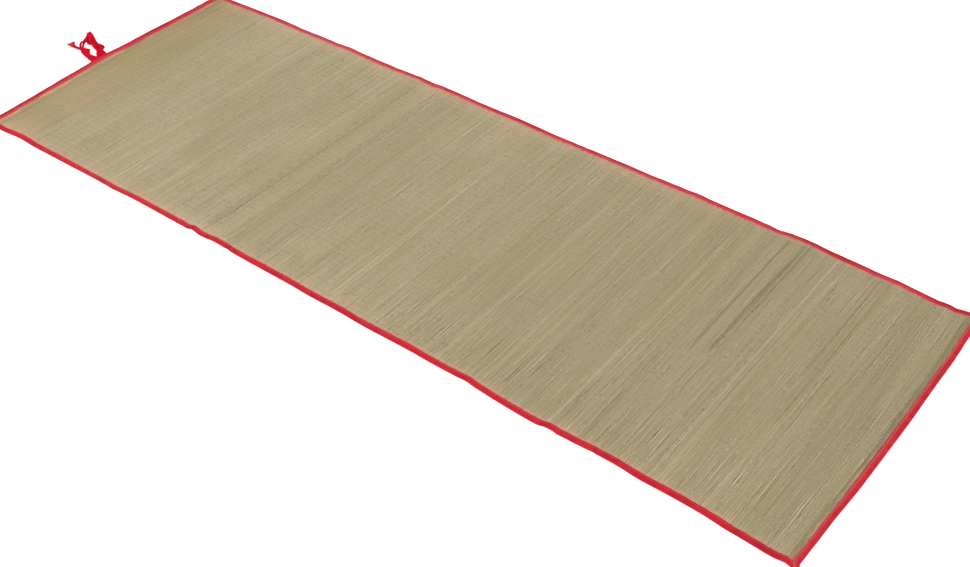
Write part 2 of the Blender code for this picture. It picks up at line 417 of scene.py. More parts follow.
def drift(random, along, across, along_span, across_span):
    """Soft random values from -1.6 to 1.6 that change over these spans along and across the mat."""
    grid = random.uniform(-1.6, 1.6, (1024, 256))
    u = along / along_span
    v = across / across_span
    i = np.floor(u).astype(int)
    j = np.floor(v).astype(int)
    s = ease(u - i)
    t = ease(v - j)
    next_i, next_j = (i + 1) % 1024, (j + 1) % 256
    i, j = i % 1024, j % 256
    low = grid[i, j] * (1 - s) + grid[next_i, j] * s
    high = grid[i, next_j] * (1 - s) + grid[next_i, next_j] * s
    return low * (1 - t) + high * t


def tubes(name, rings, values, material, parts=1, columns=None):
    """Closed tubes as one mesh. rings has an index for the tube, its stations and the points round
    each. values are numbers for each point that the material reads by name. On the map a tube is
    cut into parts, strips that lie in this many columns."""
    count, stations, sides = rings.shape[:3]
    numbers = np.arange(count * stations * sides).reshape(count, stations, sides)
    here = numbers[:, :-1]
    there = numbers[:, 1:]
    quads = np.stack(
        [here, np.roll(here, -1, 2), np.roll(there, -1, 2), there], axis=-1
    ).reshape(-1, 4)
    caps = numbers[:, 0, ::-1].tolist() + numbers[:, -1].tolist()
    mesh = bpy.data.meshes.new(name)
    mesh.from_pydata(rings.reshape(-1, 3).tolist(), [], quads.tolist() + caps)
    for value, array in values.items():
        kept = mesh.attributes.new(value, "FLOAT", "POINT")
        kept.data.foreach_set("value", np.ascontiguousarray(array, np.float32).ravel())

    # The map: strips in columns and rows, with the tubes' caps at the ends of their strips
    columns = columns or count * parts
    rows = -(-count * parts // columns)
    length = -(-(stations - 1) // parts)
    tube, station, side = np.meshgrid(
        np.arange(count), np.arange(stations - 1), np.arange(sides), indexing="ij"
    )
    strip = (tube * parts + station // length)[..., None]
    station = station % length
    corners_across = np.stack([side, side + 1, side + 1, side], axis=-1) / sides
    corners_along = np.stack([station, station, station + 1, station + 1], axis=-1) / length
    u = (strip % columns + 0.03 + 0.94 * corners_across) / columns
    v = (strip // columns + 0.012 + 0.976 * corners_along) / rows
    turns = 2 * np.pi * np.arange(sides) / sides
    map_u, map_v = [u.ravel()], [v.ravel()]
    for strip, place in ((0, 0.005), (parts - 1, 0.995)):
        strip = np.arange(count)[:, None] * parts + strip
        map_u.append(((strip % columns + 0.5 + 0.4 * np.cos(turns)) / columns).ravel())
        map_v.append(((strip // columns + place + 0.004 * np.sin(turns)) / rows).ravel())
    map_u, map_v = np.concatenate(map_u), np.concatenate(map_v)
    layer = mesh.uv_layers.new(name="OFBake")
    layer.data.foreach_set("uv", np.stack([map_u, map_v], axis=-1).astype(np.float32).ravel())
    mesh.shade_smooth()
    mesh.materials.append(material)
    piece = bpy.data.objects.new(name, mesh)
    bpy.context.scene.collection.objects.link(piece)
    return piece


def node(beside, kind, **inputs):
    """A new node in the same material as a socket, with the values or links of its inputs."""
    return set_inputs(beside.id_data.nodes.new(kind), **inputs)


def read(material, name):
    """The socket that gives a number kept on a mesh's points."""
    made = material.node_tree.nodes.new("ShaderNodeAttribute")
    made.attribute_name = name
    return made.outputs["Fac"]


def sums(operation, first, second):
    """The result of a sum of a socket and another one, or a number."""
    made = node(first, "ShaderNodeMath")
    made.operation = operation
    feed(made.inputs[0], first)
    feed(made.inputs[1], second)
    return made.outputs[0]


def times(first, second):
    return sums("MULTIPLY", first, second)


def texture_place(x, y, z=0.0):
    return node(x, "ShaderNodeCombineXYZ", X=x, Y=y, Z=z).outputs[0]


def noise(place, detail, scale=1.0, roughness=0.5):
    return node(
        place, "ShaderNodeTexNoise", Vector=place, Scale=scale, Detail=detail, Roughness=roughness
    ).outputs[0]


def ramp(amount, stops):
    """A colour ramp through (place, colour) stops."""
    made = node(amount, "ShaderNodeValToRGB", Fac=amount)
    elements = made.color_ramp.elements
    while len(elements) < len(stops):
        elements.new(0.5)
    for element, (place, colour) in zip(elements, stops):
        element.position = place
        element.color = (*colour, 1)
    return made.outputs["Color"]


def mixed(amount, first, second, blend="MIX"):
    """A mix of two colours, or of the sockets of colours."""
    beside = first if isinstance(first, bpy.types.NodeSocket) else amount
    made = node(beside, "ShaderNodeMix")
    made.data_type = "RGBA"
    made.blend_type = blend
    feed(made.inputs[0], amount)
    sockets = [socket for socket in made.inputs if socket.type == "RGBA"]
    for socket, value in zip(sockets, (first, second)):
        feed(socket, (*value, 1) if isinstance(value, tuple) else value)
    return next(socket for socket in made.outputs if socket.type == "RGBA")


def bump(height, strength, distance=0.0001):
    return node(
        height, "ShaderNodeBump", Height=height, Strength=strength, Distance=distance
    ).outputs[0]


def rush_stem(name):
    """Dry rush: tan to olive from stem to stem, with fine fibres along it and a few dark flecks."""
    material, shader = new_finish(name)
    stem = read(material, "stem")
    round_stem = read(material, "round_stem")
    along_stem = read(material, "along_stem")

    def along_fibres(round_scale, along_scale, stem_scale, detail, roughness=0.5):
        place = texture_place(
            times(round_stem, round_scale),
            times(along_stem, along_scale),
            times(stem, stem_scale),
        )
        return noise(place, detail, roughness=roughness)

    fibre = along_fibres(5.0, 60.0, 7.3, 3.0, 0.6)
    knots = along_fibres(0.5, 450.0, 5.7, 1.0)
    fibre_tone = times(sums("SUBTRACT", fibre, 0.5), 0.25)
    knot_tone = times(sums("SUBTRACT", knots, 0.5), read(material, "beads"))
    tone = sums("ADD", sums("ADD", read(material, "tone"), fibre_tone), knot_tone)
    colour = ramp(
        tone,
        (
            (0.00, (0.142, 0.120, 0.062)),
            (0.25, (0.274, 0.226, 0.130)),
            (0.50, (0.397, 0.325, 0.203)),
            (0.75, (0.492, 0.414, 0.268)),
            (1.00, (0.660, 0.580, 0.405)),
        ),
    )
    greened = mixed(read(material, "green"), colour, (0.285, 0.280, 0.118))
    greened = mixed(read(material, "dyed"), greened, (0.800, 0.360, 0.250))
    fleck = along_fibres(1.5, 220.0, 3.1, 1.0)
    fleck_amount = times(sums("GREATER_THAN", fleck, 0.735), 0.4)
    flecked = mixed(fleck_amount, greened, (0.115, 0.085, 0.040))
    set_inputs(
        shader,
        Base_Color=flecked,
        Roughness=sums("ADD", times(fibre, 0.25), 0.50),
        Specular_IOR_Level=0.30,
        Normal=bump(fibre, 0.35, 0.00012),
    )
    return material


straw_random = np.random.default_rng(31)
pitches = straw_random.uniform(*PITCH_SPREAD, round(2 * (HALF_LENGTH - EDGE_INSET) / STRAW_PITCH))
pitches *= 2 * (HALF_LENGTH - EDGE_INSET) / pitches.sum()
straw_along = -HALF_LENGTH + EDGE_INSET + np.cumsum(pitches) - pitches / 2
straw_count = len(straw_along)
warp_share = (np.arange(WARPS) - (WARPS - 1) / 2) * WARP_PITCH / (2 * HALF_WIDTH) + 0.5

# Stations along each straw: its two ends inside the tapes, and a place at every warp thread
near = near_edge(straw_along)[:, None]
far = far_edge(straw_along)[:, None]
straw_across = np.concatenate(
    [
        near + STRAW_END + straw_random.uniform(0, 2 * MM, (straw_count, 1)),
        near + warp_share * (far - near),
        far - STRAW_END - straw_random.uniform(0, 2 * MM, (straw_count, 1)),
    ],
    axis=1,
)
straw_place = np.repeat(straw_along[:, None], WARPS + 2, axis=1)
straw_press = pressed(straw_place, straw_across)


def straw_drift(along_span, across_span):
    return drift(straw_random, straw_place, straw_across, along_span, across_span)


stem_shift = 0.10 * MM * straw_drift(1.4 * MM, 0.060)
straw_middle = straw_x(straw_place + stem_shift, straw_across)
over_or_under = np.where((np.arange(straw_count)[:, None] + np.arange(WARPS + 2)) % 2, 1, -1)
proud = ease(straw_drift(1.1 * MM, 0.110) * 1.4 - 1.2)
straw_height = (
    straw_under(straw_place, straw_across)
    + straw_press * (STRAW_THICK / 2 + WEAVE_RISE * over_or_under + PROUD_STEM / 2 * proud)
)
butt_to_tip = np.where(np.arange(straw_count)[:, None] % 2, 1, -1)
taper = 1 + STEM_TAPER * butt_to_tip * (straw_across / HALF_WIDTH)
half_widths = pitches[:, None] / 2 * STRAW_CROWDED * taper
half_heights = STEM_HALF_HEIGHT * straw_press * straw_random.uniform(*HEIGHT_SPREAD, (straw_count, 1))
half_heights = half_heights + PROUD_STEM / 2 * straw_press * proud

turn = 2 * np.pi * (np.arange(STEM_SIDES) / STEM_SIDES) + math.pi / 2
lean = straw_random.uniform(-STEM_LEAN, STEM_LEAN, (straw_count, 1, 1))
straw_rings = np.stack(
    [
        straw_middle[..., None] - half_widths[..., None] * np.cos(turn + lean),
        straw_across[..., None] + 0 * turn,
        straw_height[..., None] + half_heights[..., None] * np.sin(turn + lean),
    ],
    axis=-1,
)

# The parts of the mat where the straw's colour differs
from_near = straw_across - near_edge(straw_place)
from_far = far_edge(straw_place) - straw_across
from_end = HALF_LENGTH - abs(straw_place)
from_tape = from_edge(straw_place, straw_across)
at_tie_end = straw_place < 0
far_half = rising(straw_across, -0.05, 0.10)
near_strip = falling(from_near, 46 * MM, 22 * MM)
far_strip = falling(from_far, 46 * MM, 28 * MM) * falling(straw_place, 0.55, 0.20)
end_stems = falling(straw_place, -0.73, 0.08)
olive_end = end_stems * (1 - 0.6 * falling(from_end, 30 * MM, 8 * MM) * far_half)
dark_end = falling(from_end, 37 * MM, 19 * MM) * at_tie_end
brown_end = falling(from_end, 56 * MM, 12 * MM) * far_half * at_tie_end
warm_end = falling(from_end, 37 * MM, 15 * MM) * rising(straw_across, -0.08, 0.22) * at_tie_end

# The tones: each stem's own, its drift along the stem, soft bands of many stems, and pale stripes on
# some stems, most on the proud ones, as painted highlight, with painted shade on the stem beside each
contrast = (
    0.60
    + 0.16 * rising(straw_place, -0.45, 0.30)
    + 0.20 * rising(straw_place, 0.25, 0.15)
    + (0.60 + 0.20 * rising(straw_place, 0.25, 0.20)) * falling(straw_across, -0.13, 0.12)
    + (0.50 - 0.40 * rising(straw_place, 0.40, 0.20)) * rising(straw_across, 0.14, 0.10)
)
own_tone = straw_random.normal(0, 1, (straw_count, 1))
long_lines = straw_drift(1.1 * MM, 0.110) ** 5
short_lines = straw_drift(1.1 * MM, 0.032) ** 5
# Painted highlight on some stems and on the proud ones; the roll below puts painted shade on the next
# stem
painted_highlight_lines = 0.015 * long_lines + 0.018 * short_lines + 0.10 * proud
straw_tone = contrast * (
    0.018 * own_tone
    + 0.022 * straw_drift(1.1 * MM, 0.040)
    + 0.018 * straw_drift(3.0 * MM, 0.120)
    + painted_highlight_lines
    - 0.6 * np.roll(painted_highlight_lines, 1, axis=0)
) + (
    0.016 * straw_drift(0.016, 0.200)
    + 0.019 * straw_drift(0.050, 0.110)
    - 0.030 * straw_place
    - 0.052
)

# The green of some stems, and the red tint of the straw beside the tapes
straw_green = 0.05 + 0.12 * straw_drift(0.035, 0.120)
straw_dyed = np.maximum.reduce([
    0.50 * falling(from_near, 19 * MM, 8 * MM),
    0.60 * falling(from_far, 19 * MM, 8 * MM),
    0.07 * falling(from_near, 34 * MM, 18 * MM),
    0.11 * far_strip,
    np.where(
        at_tie_end,
        (0.44 - 0.10 * far_half) * falling(from_end, 28 * MM, 14 * MM),
        (0.22 - 0.10 * far_half) * falling(from_end, 19.5 * MM, 6 * MM),
    ),
])
straw_dyed = straw_dyed * (1 + 0.45 * straw_drift(0.006, 0.012))
straw_dyed = straw_dyed + 0.018 * straw_drift(0.060, 0.080)
green_spots = ease(straw_drift(0.005, 0.013) * 1.5 - 1.1)
straw_beads = 0.30 + 0.9 * ease(straw_drift(1.1 * MM, 0.090) * 1.2 - 0.5)

# How much paler or darker (tone), greener and redder (dyed) each part is than the rest
for part, tone, green, dyed in (
    (rising(straw_place, -0.75, 0.30), -0.012, 0, 0),
    (falling(straw_place, -0.68, 0.12), -0.075, 0, 0),
    (falling(abs(straw_across), 0.20, 0.10), -0.014, 0, 0),
    (np.exp(-(((straw_place - 0.42) / 0.22) ** 2)), -0.037, 0, 0),
    # Paler beside the far tape: painted light that lifts the shade under the tape's edge
    (falling(from_far, 18 * MM, 7 * MM), 0.19, 0, 0),
    (far_strip, 0.04, 0, 0),
    (near_strip, 0.045, 0, 0),
    (near_strip * rising(straw_place, 0, 0.20), -0.025, 0, 0),
    (near_strip * falling(straw_place, -0.78, 0.05), 0.05, 0, 0),
    (end_stems, -0.05, 0, 0),
    (end_stems * far_half, -0.06, 0, 0),
    (olive_end, 0, 0.32, 0.11),
    (olive_end * far_half, 0, 0.10, 0),
    (olive_end * falling(straw_across, -0.235, 0.03), 0, 0, 0.08),
    (dark_end, -0.42, 0, 0),
    (brown_end, -0.08, 0, 0.06),
    (brown_end * rising(from_end, 28 * MM, 8 * MM), -0.08, 0, 0),
    (warm_end, -0.18, 0, 0.05),
    (green_spots * falling(from_tape, 40 * MM, 20 * MM), 0, 0.6, 0),
):
    straw_tone = straw_tone + tone * part
    straw_green = straw_green + green * part
    straw_dyed = straw_dyed + dyed * part

for streak in STREAKS:
    beside = abs(straw_place / MM - streak.along) / streak.half_width
    over = ease((1.6 - beside) / 0.8)
    over = over * rising(straw_across / MM, streak.near, STREAK_FADE)
    over = over * falling(straw_across / MM, streak.far, STREAK_FADE)
    straw_tone = straw_tone + STREAK_TONE * streak.tone * over
    straw_green = straw_green + streak.green * over

straw_finish = rush_stem("rush_stem")
round_stem = np.broadcast_to(np.arange(STEM_SIDES) / STEM_SIDES, straw_rings.shape[:3])
for group, stems in enumerate(np.array_split(np.arange(straw_count), STRAW_GROUPS)):
    each_point = np.ones((len(stems), WARPS + 2, STEM_SIDES))
    piece = tubes(
        f"straws_{group + 1:02d}",
        straw_rings[stems],
        {
            "tone": each_point * (0.5 + straw_tone[stems])[..., None],
            "green": each_point * np.clip(straw_green[stems], 0, 1)[..., None],
            "dyed": each_point * np.clip(straw_dyed[stems], 0, 1)[..., None],
            "beads": each_point * straw_beads[stems][..., None],
            "round_stem": round_stem[stems],
            "along_stem": each_point * straw_across[stems][..., None],
            "stem": each_point * stems[:, None, None],
        },
        straw_finish,
    )
    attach(piece, "root")
    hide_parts("straw_panel")


# The warp threads
# Thin twisted threads that run the length of the mat, half an inch apart, and bind the straws.
# Each passes over one straw and under the next, and its neighbours do the opposite.
THREAD_HALF = 0.19 * MM
THREAD_SIDES = 3
THREAD_GROUPS = 6
THREAD_BITE = 0.8
THREAD_WANDER = 0.25 * MM
THREAD_FLAT = 1.25
CROSSING = 0.42


def warp_cord(name):
    """Undyed twisted thread, close to the straw in colour."""
    material, shader = new_finish(name)
    along = times(read(material, "along_thread"), 900.0)
    twist = noise(texture_place(along, read(material, "thread")), 2.0)
    set_inputs(
        shader,
        Base_Color=ramp(twist, ((0.25, (0.33, 0.275, 0.165)), (0.75, (0.50, 0.43, 0.29)))),
        Roughness=0.85,
        Specular_IOR_Level=0.2,
        Normal=bump(twist, 0.5),
    )
    return material


thread_gap = half_heights[:, 1:-1] + THREAD_BITE * THREAD_HALF
thread_height = straw_height[:, 1:-1] - over_or_under[:, 1:-1] * thread_gap
thread_half_width = half_widths[:, 1:-1] * CROSSING
thread_from = straw_middle[:, 1:-1] - thread_half_width
thread_to = straw_middle[:, 1:-1] + thread_half_width
thread_x = np.stack([thread_from, thread_to], axis=1).reshape(-1, WARPS)
thread_across = np.repeat(straw_across[:, 1:-1], 2, axis=0)
thread_across = thread_across + THREAD_WANDER * drift(
    np.random.default_rng(7), thread_x, thread_across, 0.05, 0.004
)
thread_middle = np.stack(
    [thread_x, thread_across, np.repeat(thread_height, 2, axis=0)], axis=-1
).transpose(1, 0, 2)
turn = -2 * np.pi * np.arange(THREAD_SIDES) / THREAD_SIDES + math.pi / 2
thread_rings = thread_middle[:, :, None, :] + np.stack(
    [0 * turn, THREAD_FLAT * THREAD_HALF * np.cos(turn), THREAD_HALF * np.sin(turn)], axis=-1
)

thread_finish = warp_cord("warp_thread")
for group, threads in enumerate(np.array_split(np.arange(WARPS), THREAD_GROUPS)):
    rings = thread_rings[threads]
    piece = tubes(
        f"warp_threads_{group + 1}",
        rings,
        {
            "along_thread": rings[..., 0],
            "thread": np.ones(rings.shape[:3]) * threads[:, None, None],
        },
        thread_finish,
        parts=8,
    )
    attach(piece, "root")
    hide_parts("straw_panel")


# The stitching
# Red thread in a straight line of lock stitches 2.4 mm inside the tape's inner edge: one thread in
# two copies, deep red with painted shade along the mat and paler with painted light across its ends.
# It sinks into the tape and shows on both faces.
STITCH_PITCH = 5.0 * MM
STITCH_LENGTH = 4.1 * MM
STITCH_HALF = 0.26 * MM
STITCH_SIDES = 3
STITCH_SINK = 0.45 * MM
STITCH_WANDER = 0.12 * MM
STITCH_INWARDS = 10.1 * MM


def sewing_thread(name, dark, pale):
    """Spun polyester thread with a fine twist."""
    material, shader = new_finish(name)
    along = times(read(material, "along_stitch"), 1500.0)
    twist = noise(texture_place(along, read(material, "stitch")), 1.0)
    set_inputs(
        shader,
        Base_Color=ramp(twist, ((0.3, dark), (0.7, pale))),
        Roughness=0.6,
        Normal=bump(twist, 0.4),
    )
    return material


# One thread: a copy with painted shade along the long tapes, and one with painted light across the
# ends
long_thread = sewing_thread("red_thread_painted_shade", (0.110, 0.008, 0.010), (0.220, 0.022, 0.024))
end_thread = sewing_thread("red_thread_painted_light", (0.600, 0.160, 0.150), (0.800, 0.330, 0.290))


def sew(name, random, sewn, to_world, heights, widths):
    """Stitches along a tape, on both its faces. sewn is where they begin and end, and their thread.
    to_world gives the point for a place along the tape, a distance inwards and a height. heights and
    widths give the tape's height and the width that shows, for its upper face and its lower one."""
    first, last, thread = sewn
    starts = np.arange(first, last - STITCH_LENGTH, STITCH_PITCH)
    turn = -2 * np.pi * np.arange(STITCH_SIDES) / STITCH_SIDES
    rings = []
    for height, width, way in zip(heights, widths, (1, -1)):
        begin = starts + (0 if way > 0 else STITCH_PITCH / 2)
        along = begin[:, None] + STITCH_LENGTH * np.array([0.0, 0.16, 0.84, 1.0])
        inwards = STITCH_INWARDS / TAPE_SHOWS * width(along)
        inwards = inwards + STITCH_WANDER * random.uniform(-1, 1, along.shape)
        up = height(along) + way * np.array([-STITCH_SINK, STITCH_HALF, STITCH_HALF, -STITCH_SINK])
        round_in = inwards[..., None] + STITCH_HALF * np.cos(turn)
        round_up = up[..., None] + STITCH_HALF * np.sin(turn)
        rings.append(to_world(along[..., None] + 0 * round_in, round_in, round_up))
    rings = np.concatenate(rings)
    piece = tubes(
        name,
        rings,
        {
            "along_stitch": rings[..., 0] + rings[..., 1],
            "stitch": np.arange(len(rings))[:, None, None] + np.zeros(rings.shape[:3]),
        },
        thread,
        columns=math.ceil(math.sqrt(len(rings))),
    )
    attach(piece, "root")
    return piece


# The binding along the long edges
# Red woven tape, folded lengthwise over the ends of the straws and sewn down along its inner edge.
# It puckers where the mat buckles, and its ends run on under the tapes of the two ends.
TAPE_HEIGHT = 3.8 * MM
TAPE_PITCH = 5.0 * MM
SELVEDGE_WANDER = 0.7 * MM
TAPE_PUFF = 0.22 * MM
FOLD_REACH = 4 * MM
FULL_CREASE = 1.8 * MM
LAP_HEIGHT = 3.1 * MM
LAP_LIFT = 0.8 * MM
LAP_RUN = 0.022
LAP_INSIDE = 3.0 * MM
LONG_TAPE_END = HALF_LENGTH - LAP_INSIDE

# The ribs of the weave, 0.8 mm apart across the tape and 0.7 mm apart along it, in radians a metre
WARP_RIBS = 7850.0
WEFT_RIBS = 8900.0

# The folded tape's section in millimetres, from its lower edge round the fold to its upper edge and
# back along its inner face: how far inwards where 12.5 mm of it shows, the share of the tape's
# height that it stands on, the rise from there, and how much it puckers, is rubbed and is frayed
TAPE_SECTION = table(
    "inwards share rise pucker rubbed frayed",
    (12.5, 0, 0.22, 0, 0.3, 0.8),
    (11.2, 0, 0.08, 0, 0.3, 0),
    (10.1, 0, 0.24, 0, 0.3, 0),
    (8.6, 0, 0.02, 0, 0.2, 0),
    (3.6, 0, 0, 0, 0, 0),
    (1.5, 0, 0.28, 0.2, 0, 0),
    (0.55, 0.25, 0, 0.4, 0, 0),
    (0.25, 0.50, 0, 0.6, 0, 0),
    (0.55, 0.75, 0, 0.8, 0, 0),
    (1.5, 1, -0.40, 1.0, 0, 0),
    (3.0, 1, -0.05, 1.0, 0, 0),
    (5.2, 1, 0.14, 1.0, 0, 0),
    (7.6, 1, 0.06, 0.9, 0.4, 0),
    (9.0, 1, -0.20, 0.6, 0.8, 0),
    (9.6, 1, -0.46, 0.3, 0.9, 0),
    (10.1, 1, -0.56, 0.2, 0.9, 0),
    (10.5, 1, -0.52, 0.2, 0.9, 0),
    (10.9, 1, -0.44, 0.3, 0.8, 0.45),
    (12.0, 1, -0.54, 0.3, 0.8, 0.95),
    (12.5, 1, -0.96, 0.2, 0.8, 1.0),
    (12.2, 1, -1.36, 0.2, 0.8, 1.0),
    (9.8, 1, -1.26, 0.2, 0.5, 0),
    (5.2, 1, -0.62, 0.9, 0, 0),
    (2.2, 1, -0.95, 1.0, 0, 0),
    (1.2, 0.50, 0, 0.6, 0, 0),
    (2.2, 0, 0.78, 0, 0, 0),
    (6.0, 0, 0.72, 0, 0, 0),
    (12.2, 0, 0.86, 0, 0.3, 0.3),
)

LOWER_GROOVE, UPPER_GROOVE = [
    k for k, point in enumerate(TAPE_SECTION) if point.inwards * MM == STITCH_INWARDS
]

# How much of the long tapes shows above, in millimetres, at places along them in metres
NEAR_SHOWS = ((-0.68, 12.3), (-0.58, 10.5), (-0.45, 10.5), (-0.20, 12.2), (0.10, 12.5))
FAR_SHOWS = ((-0.68, 13.3), (-0.58, 12.2), (-0.20, 12.4), (0.30, 12.4), (0.70, 13.4))

# The creases across them, in millimetres: where along, half their width, how deep they sink, how
# far they pull the fold in, and how far they slant over the tape's width
CREASE = "along half_width depth pull slant"
NEAR_CREASES = table(
    CREASE,
    (-303, 5, 0.8, 0.6, 4),
    (-262, 6, 0.3, 0.3, -3),
    (-211, 4, 1.1, 1.3, 3),
    (-120, 5, 0.3, 0.2, 3),
    (60, 5, 0.3, 0.2, -3),
    (309, 6, 0.6, 0.4, 4),
    (465, 3.5, 1.5, 1.9, 2),
    (553, 3.5, 0.8, 0.9, 3),
    (655, 6, 0.4, 0.2, -2),
    (791, 5, 0.5, 0.5, 3),
)
FAR_CREASES = table(
    CREASE,
    (-560, 6, 0.3, 0.2, 3),
    (-273, 7, 0.5, 0.4, -3),
    (-228, 5, 0.7, 0.4, 3),
    (180, 6, 0.3, 0.2, 3),
    (520, 7, 0.4, 0.2, -3),
    (541, 5, 0.6, 0.2, 3),
    (700, 6, 0.4, 0.2, 3),
    (838, 8, 0.0, 0.3, -2),
)


def tape_points(random, place, height, creases, over, under):
    """How far inwards and how high the section's points are at places along a tape, and how far they
    are sunk in its creases. over and under give the widths that show above and below."""
    inwards = MM * column(TAPE_SECTION, "inwards")
    share = column(TAPE_SECTION, "share")
    pucker = column(TAPE_SECTION, "pucker")
    place = place[:, None]
    narrowed = np.where(share > 0.5, over(place), under(place)) / TAPE_SHOWS - 1
    inwards = inwards * (1 + narrowed * ease(inwards / (5 * MM)))
    reach = inwards / TAPE_SHOWS
    flat = 0 * place
    wander_over = SELVEDGE_WANDER * drift(random, place, flat, 0.045, 1)
    wander_under = SELVEDGE_WANDER * drift(random, place, flat, 0.060, 1)
    wander = np.where(share > 0.5, wander_over, wander_under) * reach ** 2
    puff = TAPE_PUFF * drift(random, place, reach * 3, 0.013, 1)
    puff = puff + TAPE_PUFF * drift(random, place, reach * 2, 0.050, 1)
    sunk = 0
    pulled = 0
    for crease in creases:
        middle = MM * (crease.along + crease.slant * (reach - 0.5))
        beside = (place - middle) / (MM * crease.half_width)
        dent = (1 - 0.9 * beside**2) * np.exp(-(beside**2))
        sunk = sunk + MM * crease.depth * dent
        pulled = pulled + MM * crease.pull * np.exp(-(beside**2)) * np.exp(-inwards / FOLD_REACH)
    rise = MM * column(TAPE_SECTION, "rise")
    up = share * height[:, None] + rise + pucker * (puff - sunk)
    return inwards + wander + pulled, np.maximum(up, 0), pucker * (sunk - puff)


def woven_tape(name, bright, warm, wear_and_highlight_colour, deep, pale, gloss):
    """Woven tape with a fine rib. bright is its colour, with warm patches. It takes its wear colour
    where it is rubbed and dusty, and on the tie this colour is a lighter pink, a painted highlight
    along its edges. Its deep colour is painted shade in its creases, folds and puckers, along its
    stitches and on its inner edge, and a deeper tone over whole stretches of the binding. It is pale
    where its selvedge frays."""
    material, shader = new_finish(name)
    along = read(material, "along_tape")
    across = read(material, "across_tape")
    place = texture_place(along, across)
    cloud = noise(place, 4.0, 90.0, 0.6)
    warp_way = sums("SINE", times(across, WARP_RIBS), 0.0)
    weft_way = sums("SINE", times(along, WEFT_RIBS), 0.0)
    weave = times(warp_way, weft_way)
    # On the tie the amount of wear along the tape's edges is a painted highlight, in its lighter wear
    # colour
    cloud_worn = times(sums("SUBTRACT", cloud, 0.5), 1.2)
    rubbed = sums("ADD", read(material, "wear_and_highlight"), cloud_worn)
    faded = noise(place, 2.0, 34.0)
    faded_amount = sums("SUBTRACT", times(faded, 4.0), 1.95)
    colour = mixed(faded_amount, bright, warm)
    colour = mixed(rubbed, colour, wear_and_highlight_colour)
    # The deep colour: painted shade in creases, folds and puckers, along the stitches and on the
    # inner edge
    colour = mixed(read(material, "deep_tone_and_painted_shade"), colour, deep)
    fray = noise(place, 4.0, 190.0, 0.7)
    fray_shown = sums("SUBTRACT", times(fray, 3.2), 0.9)
    fray_amount = times(read(material, "frayed"), fray_shown)
    colour = mixed(fray_amount, colour, pale)
    thread_shade = sums("ADD", times(weave, 0.06), 0.94)
    shade = texture_place(thread_shade, thread_shade, thread_shade)
    height = sums("ADD", times(weave, 0.5), cloud)
    set_inputs(
        shader,
        Base_Color=mixed(1.0, colour, shade, "MULTIPLY"),
        Roughness=sums("ADD", times(cloud, 0.2), 0.50),
        Specular_IOR_Level=gloss,
        Sheen_Weight=0.2 * gloss,
        Sheen_Roughness=0.5,
        Normal=bump(height, 0.4),
    )
    return material


def tape_values(place, inwards, up, sunk, groove_shade, rim_shade, fray, wear, deep):
    """What the tape's material reads: places on it, where it is rubbed or frayed, and its painted
    shade, deepest where it sinks in its creases and puckers. Two arguments give the painted shade
    along its stitch line and on its inner edge, and wear and deep are how rubbed and how deep the
    whole of it is."""
    steps = np.hypot(np.diff(inwards, axis=1), np.diff(up, axis=1))
    across = np.concatenate([0 * steps[:, :1], np.cumsum(steps, axis=1)], axis=1)
    section_inwards = column(TAPE_SECTION, "inwards")
    sewn = (section_inwards > 9.5) & (section_inwards < 10.2)
    inner = section_inwards > 10.5
    # Painted shade where the tape sinks, along its stitch line and on its inner edge, plus a deeper
    # tone
    deepened = sunk / FULL_CREASE + groove_shade * sewn + rim_shade * inner + deep
    return {
        "along_tape": (place[:, None] + 0 * inwards)[None],
        "across_tape": across[None],
        "wear_and_highlight": (column(TAPE_SECTION, "rubbed") + wear + 0 * inwards)[None],
        "frayed": (fray * column(TAPE_SECTION, "frayed") + 0 * inwards)[None],
        "deep_tone_and_painted_shade": np.clip(deepened, 0, 1)[None],
    }


def bind(name, random, course, shows, creases, looks, sewn, length, turned):
    """One tape, folded over an edge of the mat and sewn down. course is its places, its height there
    and their points in space, shows is how much of it shows above and below, and sewn is from where
    to where it is sewn, with which thread. turned is for a section that runs the other way round."""
    places, height, to_world = course
    shows_above, shows_below = shows
    widths = (
        lambda place: MM * np.interp(place, *zip(*shows_above)),
        lambda place: shows_below * MM + 0 * place,
    )
    inwards, up, sunk = tape_points(random, places, height, creases, *widths)
    rings = to_world(places[:, None] + 0 * inwards, inwards, up)[None]
    values = tape_values(places, inwards, up, sunk, **looks)
    if turned:
        rings = rings[:, :, ::-1]
        values = {key: array[:, :, ::-1] for key, array in values.items()}
    piece = tubes(
        f"binding_tape_{name}", rings, values, binding_finish, parts=8 if length > 1 else 4
    )
    heights = (
        lambda place: np.interp(place, places, up[:, UPPER_GROOVE]),
        lambda place: np.interp(place, places, up[:, LOWER_GROOVE]),
    )
    stitches = sew(f"stitches_{name}", random, sewn, to_world, heights, widths)
    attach(piece, "root")
    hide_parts(f"binding_{name}")


def under_lap(along):
    """1 at the end of a long tape, under the tape of the mat's end, and 0 away from it."""
    return ease(1 - (LONG_TAPE_END - abs(along) - TAPE_SHOWS) / LAP_RUN)


# The binding's deep colour is its painted shade, and also a deeper tone over whole stretches of it
binding_finish = woven_tape(
    "red_woven_tape",
    bright=(0.520, 0.0070, 0.0235),
    warm=(0.575, 0.0170, 0.0200),
    wear_and_highlight_colour=(0.540, 0.0560, 0.0620),
    deep=(0.110, 0.004, 0.010),
    pale=(0.900, 0.500, 0.420),
    gloss=0.08,
)

